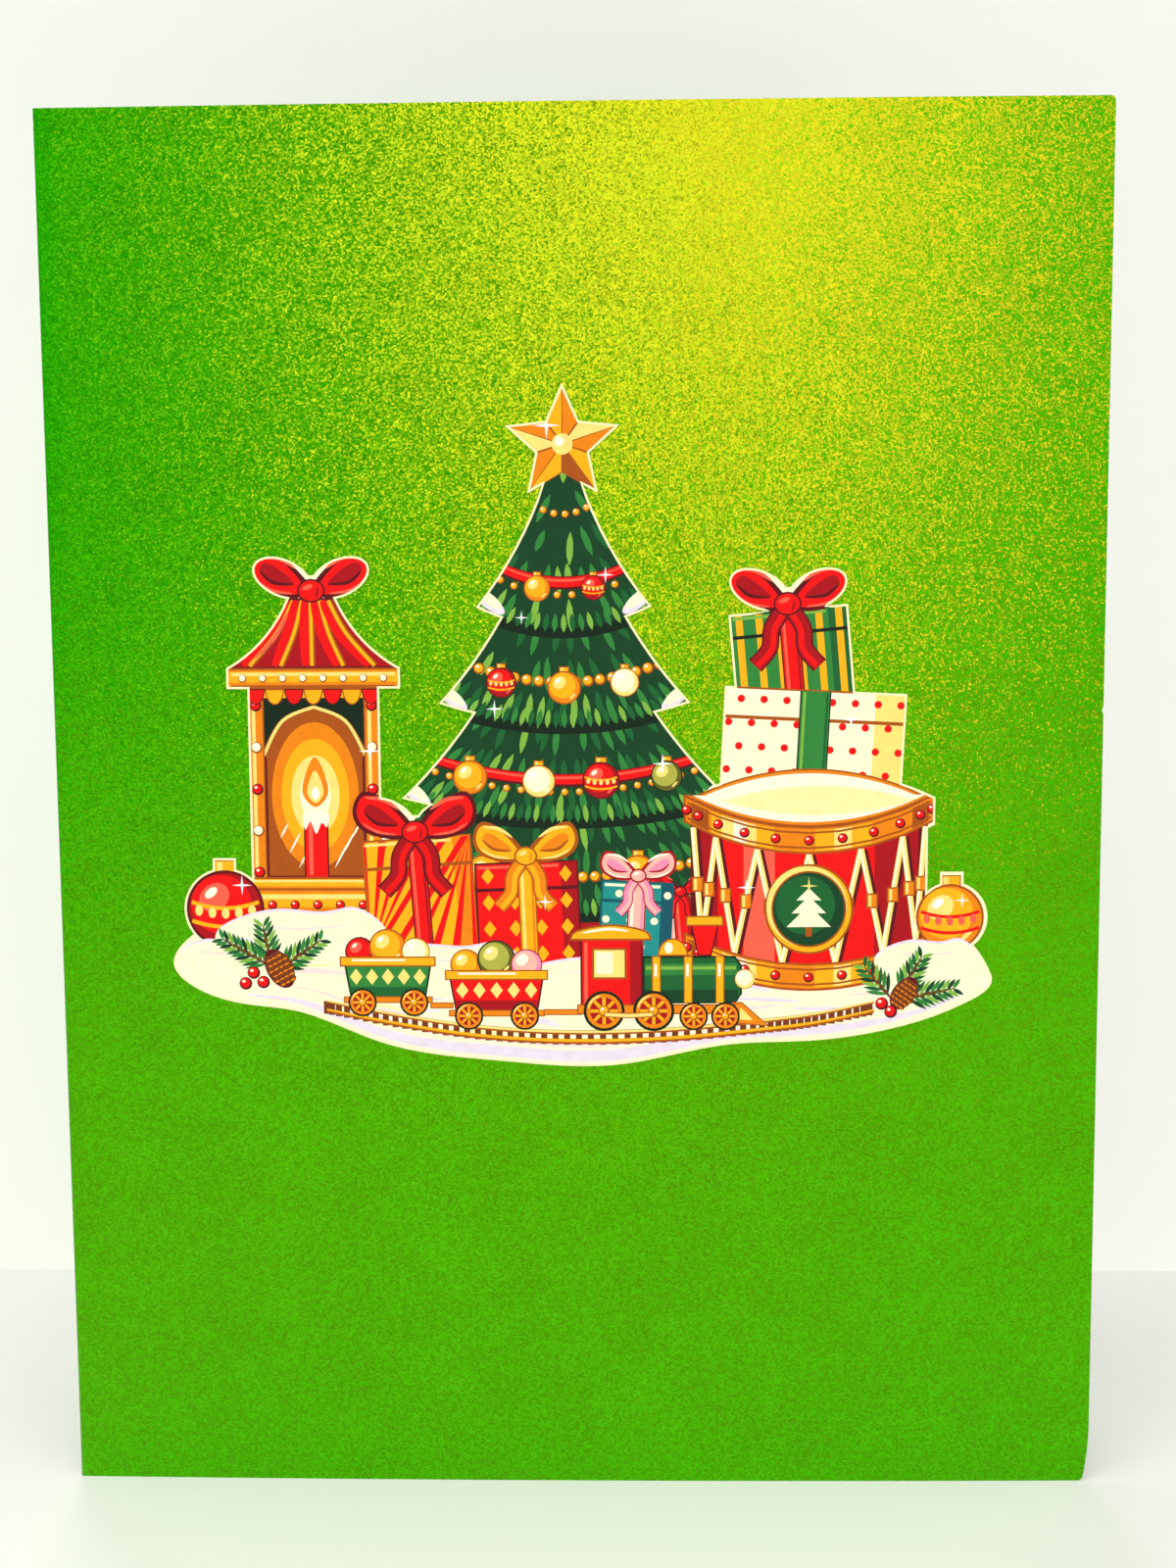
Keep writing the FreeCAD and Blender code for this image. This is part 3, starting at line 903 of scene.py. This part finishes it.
# Soft snow heaped against the foot of something, shaded along its crest
moundShape = [(-1, -0.6), (-0.8, 0.3), (-0.3, 0.9), (0.25, 0.75), (0.62, 1.0), (0.9, 0.3), (1, -0.7),
              (0.75, -1.7), (0, -2), (-0.7, -1.7)]


def mound(x, z, across, up):
    shape = curve(moundShape, 5, True)
    paint("lilacShade", placed([(px * across, pz * up + 0.3) for px, pz in shape], x, z))
    paint("snowCream", placed([(px * across * 1.01, pz * up - 0.1) for px, pz in shape], x, z))
    crease = curve([(-across * 0.5, up * 0.1), (0, -up * 0.1), (across * 0.55, up * 0.15)], 5)
    paint("rosyShade", stroke(placed(crease, x, z), 0.35, 0.1))


def sprig(x, z, angle, length):
    paint("brown", straight(x, z, angle, length, 0.6, 0.3))
    steps = int(length / 0.8)
    a = math.radians(angle)
    for i in range(steps):
        reach = length * (i + 1) / steps
        size = 3.2 * (1 - 0.5 * i / steps)
        for side in (-1, 1):
            name = ("firDark", "firMid", "firGreen", "firLight")[(i + (side > 0)) % 4]
            needle = straight(reach * math.cos(a), reach * math.sin(a), angle + side * 42, size, 0.6)
            paint(name, placed(needle, x, z))


# A fir cone: rows of scales, each with a lit lower lip
def cone(x, z, size, tilt):
    paint("wine", placed(oval(0, 0, size * 0.62, size), x, z, tilt))
    for row in range(6):
        up = 0.7 - row * 0.29
        reach = math.sqrt(max(0.1, 1 - up * up)) * 0.62
        count = 3 if row in (0, 5) else 4
        for c in range(count):
            px = ((c + 0.5 + 0.25 * (row % 2)) / count * 2 * reach - reach) * size * 0.9
            pz = up * size * 0.9
            paint("brown", placed(oval(px, pz, size * 0.2, size * 0.17), x, z, tilt))
            paint("amber", placed(oval(px, pz - size * 0.07, size * 0.13, size * 0.045), x, z, tilt))


def wheel(x, z, radius):
    paint("nightGreen", oval(x, z, radius, radius))
    paint("amber", oval(x, z, radius * 0.86, radius * 0.86))
    paint("deepRed", oval(x, z, radius * 0.68, radius * 0.68))
    for i in range(4):
        turn = math.pi * i / 4
        reach = radius * 0.66
        paint("gold", straight(x - reach * math.cos(turn), z - reach * math.sin(turn), 45 * i, 2 * reach,
                               radius * 0.16, 1.0))
    bead(x, z, radius * 0.28, "gold")
    paint("paleGold", stroke(oval(x, z, radius * 0.77, radius * 0.77, 0, 100, 170), radius * 0.1, 0.2))


def wagon(x, foot, width, tone, load):
    edge, dark, body, _, _ = tones[tone]
    half = width / 2
    top = foot + 8.4
    for px, pz, radius, colour in load:
        ball(x + px, top + pz, radius, colour)
    side = [(-half + 1.0, 2.6), (half - 1.0, 2.6), (half, 8.4), (-half, 8.4)]
    shade = [(-half + 1.2, 2.8), (half - 1.2, 2.8), (half - 0.9, 4.4), (-half + 0.9, 4.4)]
    edged(body, edge, placed(side, x, foot))
    paint(dark, placed(shade, x, foot))
    for i in range(5):
        px = (i - 2) * width / 5.6
        paint("paleGold", placed([(px - 0.9, 5.9), (px, 4.7), (px + 0.9, 5.9), (px, 7.1)], x, foot))
    edged("gold", "bronze", box(x, top - 1.0, width + 1.0, 1.5), 0.2)
    paint("ivory", box(x - width * 0.1, top - 0.2, width * 0.6, 0.3))
    edged("amber", "bronze", box(x, foot + 2.0, width, 1.0), 0.15)
    for shift in (-0.29, 0.29):
        wheel(x + width * shift, foot + 2.1, 2.1)


train = {
    "rail": [(-37, 9.0), (-27, 7.0), (-15, 5.2), (-2, 4.4), (12, 4.7), (25, 5.9), (34, 7.0), (42.5, 8.8)],
    "greenLoad": [(-4.0, 1.2, 2.2, "red"), (0.0, 1.9, 2.7, "gold"), (4.1, 1.2, 2.1, "ivory")],
    "redLoad": [(-4.4, 1.3, 2.3, "gold"), (0.0, 2.1, 2.8, "olive"), (4.4, 1.3, 2.3, "pink")],
    "engine": (4.0, 5.0),
}


def paintTrain():
    rail = curve(train["rail"], 8)
    for px, pz in rail[:-1]:
        paint("brown", box(px, pz - 1.5, 0.9, 1.9))
    for name, lift, width in (("bronze", -1.0, 0.8), ("gold", -0.85, 0.45), ("bronze", 0.35, 0.7),
                              ("paleGold", 0.45, 0.35)):
        paint(name, stroke(placed(rail, 0, lift), width, 0.6))
    wagon(-28.0, 7.1, 13.0, "green", train["greenLoad"])
    wagon(-12.2, 5.1, 14.0, "red", train["redLoad"])
    for x, z, width in ((-20.2, 8.3, 3.4), (-2.6, 7.3, 5.6)):
        edged("amber", "bronze", box(x, z, width, 0.9), 0.15)
    paintEngine(*train["engine"])


# Engine: cab, boiler, dome, chimney and lamp, over its wheels
def paintEngine(x, foot):
    edged("red", "wine", box(x + 0.5, foot + 2.6, 9.0, 11.0))
    paint("deepRed", box(x + 4.0, foot + 3.0, 1.6, 10.2))
    paint("coral", box(x - 3.2, foot + 3.2, 0.5, 9.8))
    edged("paleGold", "bronze", box(x + 0.2, foot + 7.6, 5.0, 4.6), 0.3)
    paint("snowCream", box(x - 0.5, foot + 8.4, 2.4, 3.2))
    roof = curve([(-5.6, 13.3), (-4.6, 14.8), (0.5, 15.7), (5.4, 14.8), (6.4, 13.3)], 5)
    edged("gold", "bronze", placed(roof, x, foot))
    paint("ivory", placed(stroke(curve([(-3.8, 14.4), (0, 15.0), (3, 14.7)], 4), 0.4, 0.2), x, foot))
    boiler = [(5.0, 4.0), (18.4, 4.0), (19.4, 5.4), (19.4, 9.6), (18.4, 11.0), (5.0, 11.0)]
    edged("firGreen", "nightGreen", placed(boiler, x, foot))
    paint("firDark", box(x + 12, foot + 4.3, 13.6, 1.7))
    paint("firMid", box(x + 12, foot + 8.2, 13.4, 1.7))
    paint("firLight", box(x + 12, foot + 9.0, 13.0, 0.5))
    for px in (7.0, 11.6, 16.2):
        edged("gold", "bronze", box(x + px, foot + 4.0, 1.3, 7.0), 0.15)
        paint("ivory", box(x + px - 0.1, foot + 8.0, 0.4, 1.8))
    edged("gold", "bronze", oval(x + 9.4, foot + 11.0, 2.2, 2.6, 0, 0, 180), 0.2)
    paint("ivory", oval(x + 8.8, foot + 12.2, 0.6, 0.8))
    edged("red", "wine", placed([(13.0, 11.0), (15.0, 11.0), (16.2, 16.4), (11.8, 16.4)], x, foot), 0.2)
    edged("gold", "bronze", box(x + 14.0, foot + 15.4, 5.4, 1.5), 0.2)
    ball(x + 19.8, foot + 7.6, 1.5, "ivory")
    edged("amber", "bronze", placed([(18.0, 1.0), (23.4, 0.6), (19.4, 4.2), (18.0, 4.2)], x, foot), 0.2)
    paint("paleGold", placed([(18.8, 1.6), (21.0, 1.5), (19.2, 3.4)], x, foot))
    edged("amber", "bronze", box(x + 7.0, foot + 2.4, 23.0, 1.5), 0.2)
    for px, pz, radius in ((-0.6, 2.9, 3.0), (6.6, 2.9, 3.0), (12.4, 2.1, 2.1), (17.0, 2.1, 2.1)):
        wheel(x + px, foot + pz, radius)
    edged("paleGold", "bronze", placed(stroke([(-0.6, 2.4), (3.0, 2.2), (6.6, 2.4)], 0.8), x, foot), 0.15)


# Places of the small things: sprigs with angle and length, berries, and sparkles with size
sprigs = [(-45.0, 14.5, 150, 8.0), (-45.0, 14.5, 100, 6.0), (-44.0, 14.0, 35, 7.5),
          (46.5, 9.5, 12, 7.5), (46.0, 10.0, 60, 6.5), (45.0, 9.6, 130, 6.0)]
berries = [(-47.6, 13.6), (-46.2, 12.2), (-48.8, 12.0), (43.6, 8.9), (44.9, 7.7)]
sparkles = [(-30, 46, 1.6), (-12, 52, 1.3), (12, 44, 1.5), (4, 71, 1.2), (-8, 65, 1.0), (38.9, 50.2, 1.3),
            (24, 26, 1.3), (-49, 26.5, 1.5), (55, 24, 1.1), (-5, 24, 1.2)]


def paintPicture(lowerEdge):
    paintDrift(lowerEdge)
    paintTree()
    mound(-46, 22.4, 9, 1.9)
    mound(-24, 23.6, 10, 1.8)
    paintLantern()
    parcel(-22.5, 17.0, 16.0, 16.5, 4.0, "gold", "red", "slants")
    parcel(31.0, 53.0, 17.0, 13.0, 5.0, "green", "red", "stripes")
    parcel(33.0, 37.5, 26.0, 17.0, -3.0, "ivory", "green", "dots", 0.0)
    parcel(15.4, 15.2, 8.0, 9.5, 5.0, "pink", "red", "stripes", 0.5)
    paintDrum()
    parcel(7.8, 15.5, 10.5, 11.5, -3.0, "teal", "pink", "dots", 0.62)
    parcel(-7.2, 14.4, 15.0, 15.5, 2.0, "red", "gold", "diamonds", 0.85)
    bauble(-51.5, 23.0, 5.7, "red", "gold")
    bauble(53.3, 21.5, 4.9, "gold", "red")
    mound(-40.5, 20.3, 12.5, 2.7)
    mound(-20.0, 15.6, 12.0, 2.2)
    mound(4.0, 13.6, 14.0, 2.2)
    mound(50.0, 16.2, 7.5, 2.0)
    mound(-52.5, 16.6, 6.5, 1.9)
    paintTrain()
    for x, z, angle, length in sprigs:
        sprig(x, z, angle, length)
    cone(-43.8, 14.2, 3.1, 28)
    cone(46.8, 10.4, 2.7, -35)
    for x, z in berries:
        bead(x, z, 0.95, "red")
    for x, z, size in sparkles:
        sparkle(x, z, size)


# The die cut outline, read round the front of the label's solid
def labelOutline(origin):
    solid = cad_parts["picture_label"].data
    faces = []
    for face in solid.polygons:
        if face.normal.y < -0.9:
            corners = [solid.vertices[i].co / mm for i in face.vertices]
            faces.append([(round(c.x, 4), round(c.z, 4)) for c in corners])
    return [(x - origin[0], z - origin[1]) for x, z in borderLoop(faces)]


# Printed paper: uncoated pulp sheet with process inks, which dry matt and a little uneven
paper = {
    "cloudWidth": 1.6,       # unevenness of the ink
    "thinInk": 0.8,
    "fullInk": 1.08,
    "grainWidth": 0.2,       # real fibres are about 0.03, too fine to show, so they are drawn coarser
    "grainRelief": 0.01,
    "reliefShare": 0.15,
    "roughness": 0.75,
    "ior": 1.4,
    "specular": 0.3,
}


def printedPaper(name, hexCode):
    material, tree, shader = newMaterial(name)
    place = addNode(tree, "ShaderNodeTexCoord").outputs["Object"]
    cloud = addNode(tree, "ShaderNodeTexNoise",
                    {"Vector": place, "Scale": 1 / (paper["cloudWidth"] * mm), "Detail": 3.0})
    grain = addNode(tree, "ShaderNodeTexNoise",
                    {"Vector": place, "Scale": 1 / (paper["grainWidth"] * mm), "Detail": 1.0})
    thin = [c * paper["thinInk"] for c in ink(hexCode)[:3]] + [1.0]
    full = [min(1.0, c * paper["fullInk"]) for c in ink(hexCode)[:3]] + [1.0]
    colour = addNode(tree, "ShaderNodeMix", {0: cloud.outputs["Fac"], "A": thin, "B": full},
                     data_type="RGBA")
    tree.links.new(colour.outputs["Result"], shader.inputs["Base Color"])
    bump = addNode(tree, "ShaderNodeBump", {"Height": grain.outputs["Fac"], "Strength": paper["reliefShare"],
                                            "Distance": paper["grainRelief"] * mm})
    tree.links.new(bump.outputs["Normal"], shader.inputs["Normal"])
    shader.inputs["Roughness"].default_value = paper["roughness"]
    shader.inputs["IOR"].default_value = paper["ior"]
    shader.inputs["Specular IOR Level"].default_value = paper["specular"]
    return material


def printedLabel():
    origin = (frontCentre.x + label["offCentre"], label["aboveFoot"])

    def labelPoint(x, z, offset):
        across = x + origin[0] - frontCentre.x
        reach = bowRadius + halfThickness + offset
        depth = frontCentre.y - math.sqrt(reach * reach - across * across)
        return Vector((x + origin[0], depth, z + origin[1])) * mm

    outline = labelOutline(origin)
    paintPicture(sorted(p for p in outline if p[1] < drift["lowerEdge"]))
    fields = [inset(outline, label["border"])] + [shape for _, shape in picture]
    names = ["barePaper", "snowCream"] + [name for name, _ in picture]
    colours = list(inks)
    lines = [label["guideStep"] * i for i in range(-label["guidePairs"], label["guidePairs"] + 1)]
    guides = [((x, label["guideFoot"]), (x, label["guideTop"])) for x in lines]
    spots, kept, _ = divideSheet(outline, fields, guides)
    triangles = []
    for corners, top, owners in kept:
        # Outside the inset field the paper stays bare
        triangles.append((corners, colours.index(names[top if 1 in owners else 0])))
    piece = sheetMesh("printed_label", spots, triangles, guides, labelPoint, (label["thickness"], 0.0), 0, 0)
    for name in colours:
        piece.data.materials.append(printedPaper(name, inks[name]))
    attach(piece, "root")
    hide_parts("picture_label")
    print("label:", len(picture), "printed fields,", len(piece.data.polygons), "faces")


printedLabel()

# Floor and backdrop: matt painted board, whose fine tooth keeps it from any gloss. In millimetres.
stage = {
    "floorHex": "#FDFBF4",
    "wallHex": "#EFEEE8",
    "wallBehind": 55.0,      # from the origin
    "wallHeight": 600.0,
    "halfWidth": 900.0,
    "teethPerMetre": 900.0,
    "toothRelief": 0.05,
    "reliefShare": 0.08,
    "roughness": 0.8,
}


def paleBoard(name, hexCode, oneSided):
    material, tree, shader = newMaterial(name)
    place = addNode(tree, "ShaderNodeTexCoord").outputs["Object"]
    tooth = addNode(tree, "ShaderNodeTexNoise",
                    {"Vector": place, "Scale": stage["teethPerMetre"], "Detail": 3.0})
    bump = addNode(tree, "ShaderNodeBump", {"Height": tooth.outputs["Fac"], "Strength": stage["reliefShare"],
                                            "Distance": stage["toothRelief"] * mm})
    tree.links.new(bump.outputs["Normal"], shader.inputs["Normal"])
    shader.inputs["Base Color"].default_value = ink(hexCode)
    shader.inputs["Roughness"].default_value = stage["roughness"]
    if oneSided:
        # Seen from behind it is clear, and it throws neither shadow nor light on the floor
        side = addNode(tree, "ShaderNodeNewGeometry").outputs["Backfacing"]
        path = addNode(tree, "ShaderNodeLightPath").outputs
        light = addNode(tree, "ShaderNodeMath", {0: path["Is Shadow Ray"], 1: path["Is Diffuse Ray"]},
                        operation="MAXIMUM")
        passing = addNode(tree, "ShaderNodeMath", {0: side, 1: light.outputs[0]}, operation="MAXIMUM")
        clear = addNode(tree, "ShaderNodeBsdfTransparent")
        either = addNode(tree, "ShaderNodeMixShader",
                         {0: passing.outputs[0], 1: shader.outputs[0], 2: clear.outputs[0]})
        tree.links.new(either.outputs[0], tree.nodes["Material Output"].inputs["Surface"])
    return material


def stagePiece(name, corners, material):
    mesh = bpy.data.meshes.new(name)
    mesh.from_pydata([Vector(corner) * mm for corner in corners], [], [(0, 1, 2, 3)])
    mesh.materials.append(material)
    piece = bpy.data.objects.new(name, mesh)
    bpy.context.scene.collection.objects.link(piece)


def buildStage():
    wide = stage["halfWidth"]
    wall = stage["wallBehind"]
    high = stage["wallHeight"]
    floor = [(-wide, -wide, 0), (wide, -wide, 0), (wide, wide, 0), (-wide, wide, 0)]
    backdrop = [(-wide, wall, 0), (wide, wall, 0), (wide, wall, high), (-wide, wall, high)]
    stagePiece("pale_floor", floor, paleBoard("paleFloor", stage["floorHex"], False))
    stagePiece("pale_backdrop", backdrop, paleBoard("paleBackdrop", stage["wallHex"], True))
    print("stage: floor and backdrop")


buildStage()

# Lamps, in millimetres from the origin. The front one is mirrored in the card's upper half.
lamps = [
    {"name": "frontSoftbox", "place": (135, -2660, 740), "aim": (15, -38, 150),
     "size": (780, 1280), "watts": 42},
    {"name": "topSoftbox", "place": (-40, -400, 1500), "aim": (0, 0, 60),
     "size": (1400, 1400), "watts": 19.2},
    {"name": "backSoftbox", "place": (-700, 3000, 660), "aim": (0, 0, 100),
     "size": (1400, 1000), "watts": 44},
]
room = {
    "fillHex": "#F2F4F6",
    "fillStrength": 0.12,
    "seenHex": "#F3F5F1",    # behind the stage, seen by the camera alone
}


def buildLamps():
    for lamp in lamps:
        light = bpy.data.lights.new(lamp["name"], "AREA")
        light.shape = "RECTANGLE"
        light.size, light.size_y = [side * mm for side in lamp["size"]]
        light.energy = lamp["watts"]
        holder = bpy.data.objects.new(lamp["name"], light)
        holder.location = Vector(lamp["place"]) * mm
        aim = Vector(lamp["aim"]) * mm - holder.location
        holder.rotation_euler = aim.to_track_quat("-Z", "Y").to_euler()
        bpy.context.scene.collection.objects.link(holder)
    world = bpy.data.worlds.new("paleRoom")
    bpy.context.scene.world = world
    world.use_nodes = True
    tree = world.node_tree
    fill = tree.nodes["Background"]
    fill.inputs["Color"].default_value = ink(room["fillHex"])
    fill.inputs["Strength"].default_value = room["fillStrength"]
    seen = addNode(tree, "ShaderNodeBackground", {"Color": ink(room["seenHex"]), "Strength": 1.0})
    ray = addNode(tree, "ShaderNodeLightPath")
    either = addNode(tree, "ShaderNodeMixShader",
                     {0: ray.outputs["Is Camera Ray"], 1: fill.outputs[0], 2: seen.outputs[0]})
    tree.links.new(either.outputs[0], tree.nodes["World Output"].inputs["Surface"])
    print("lamps:", len(lamps), "softboxes and a pale room")


buildLamps()

# Camera: where the photograph was taken from, worked out from the four corners of the front leaf
camera = {
    "place": (10.7, -359.3, 144.3),
    "yaw": -1.59,
    "pitch": 7.03,           # downwards
    "roll": -0.42,
    "focalPixels": 2300.0,
    "photoPixels": 1600,     # long side of the photograph
    "sensor": 36.0,
    "clipStart": 10.0,
}


def buildCamera():
    yaw, pitch, roll = [math.radians(camera[turn]) for turn in ("yaw", "pitch", "roll")]
    ahead = Vector((math.sin(yaw) * math.cos(pitch), math.cos(yaw) * math.cos(pitch), -math.sin(pitch)))
    level = Vector((math.cos(yaw), -math.sin(yaw), 0))
    upright = level.cross(ahead)
    right = level * math.cos(roll) + upright * math.sin(roll)
    up = upright * math.cos(roll) - level * math.sin(roll)
    lens = bpy.data.cameras.new("photoCamera")
    lens.sensor_width = camera["sensor"]
    lens.lens = camera["focalPixels"] / camera["photoPixels"] * camera["sensor"]
    lens.clip_start = camera["clipStart"] * mm
    holder = bpy.data.objects.new("photoCamera", lens)
    turn = Matrix((right, up, -ahead)).transposed().to_4x4()
    holder.matrix_world = Matrix.Translation(Vector(camera["place"]) * mm) @ turn
    bpy.context.scene.collection.objects.link(holder)
    bpy.context.scene.camera = holder
    print("camera: at the photograph's angle")


buildCamera()
bpy.context.scene.view_settings.view_transform = "Standard"
